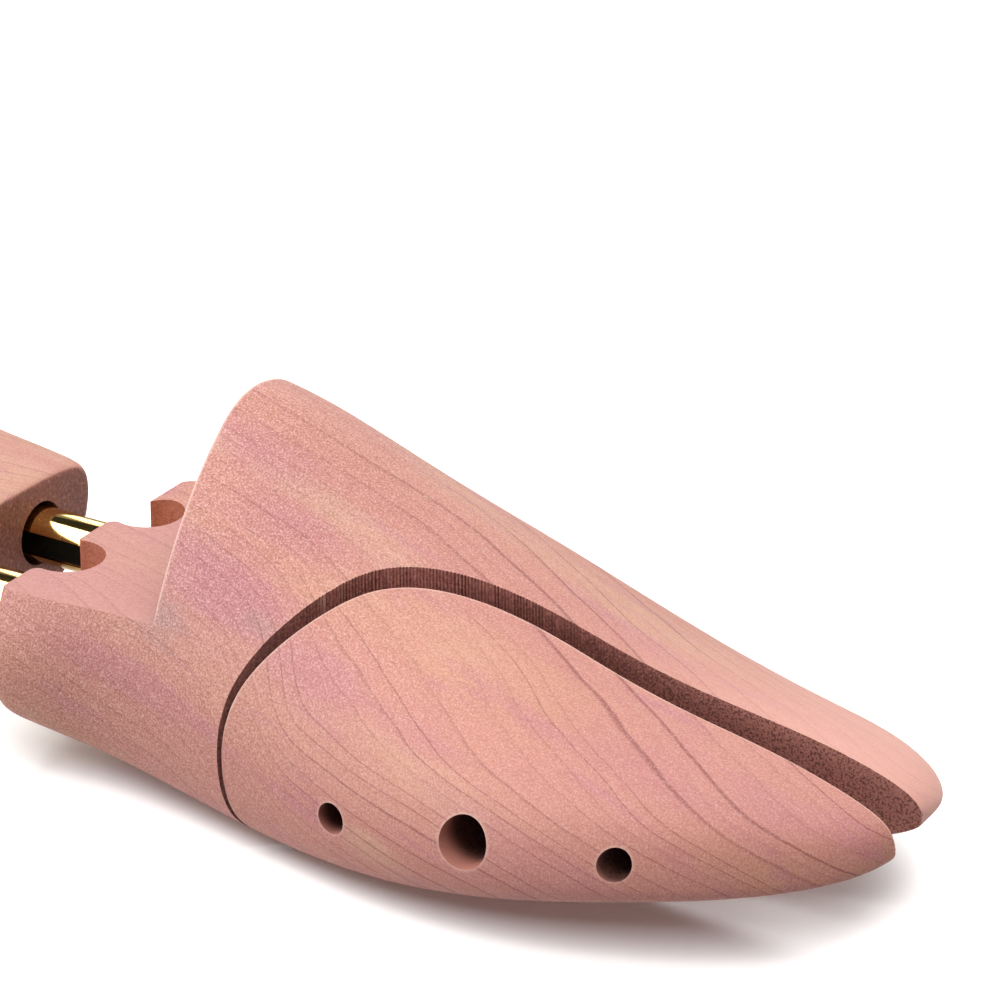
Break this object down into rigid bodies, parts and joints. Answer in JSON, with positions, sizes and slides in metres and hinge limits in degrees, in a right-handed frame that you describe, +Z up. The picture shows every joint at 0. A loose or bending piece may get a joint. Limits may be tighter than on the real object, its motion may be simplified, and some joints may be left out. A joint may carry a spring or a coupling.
{
  "type": "shoe tree",
  "caption": "Cedar shoe tree with a split toe that springs open sideways and a heel block that slides on twin brass tubes against springs, to hold and stretch a shoe",
  "frame": {"origin": "middle of the outline on the floor, with the heel slid out to its stop and the toe wing open", "axes": "+X along the tubes from heel to toe, +Y to the inner side of the right foot, +Z up"},
  "size_m": [0.258, 0.0756, 0.0675],
  "materials": {
    "cedar": "sanded, unvarnished aromatic cedar",
    "brass": "polished brass plating",
    "steel": "plain bright steel"
  },
  "bodies": {
    "forepart": {"toe_body": "cedar", "lateral_tube": "brass", "medial_tube": "brass", "lateral_tube_plug": "steel", "medial_tube_plug": "steel", "tube_lock_pin": "steel", "rear_guide_screw": "steel", "front_guide_screw": "steel", "rear_screw_washer": "steel", "front_screw_washer": "steel", "wing_spring": "steel", "wing_spring_seat": "steel", "lateral_tube_spring": "steel", "medial_tube_spring": "steel"},
    "wing": {"toe_wing": "cedar", "wing_spring_plug": "steel"},
    "heel": {"heel_block": "cedar", "heel_stop_pin": "steel", "lateral_spring_seat": "steel", "medial_spring_seat": "steel"}
  },
  "joints": [
    {"name": "heel_slide", "type": "slide", "parent": "forepart", "child": "heel", "axis": [1, 0, 0], "range_m": [0, 0.018], "stiffness_N_per_m": 600, "springref_m": -0.01, "deforming": ["lateral_tube_spring", "medial_tube_spring"]},
    {"name": "wing_swing", "type": "hinge", "parent": "forepart", "child": "wing", "pos_m": [0.01598, -0.03021, 0.02], "axis": [0, 0, 1], "range_deg": [0, 4.2], "stiffness_Nm_per_rad": 1.4, "springref_deg": -5.73, "deforming": ["wing_spring"]}
  ]
}
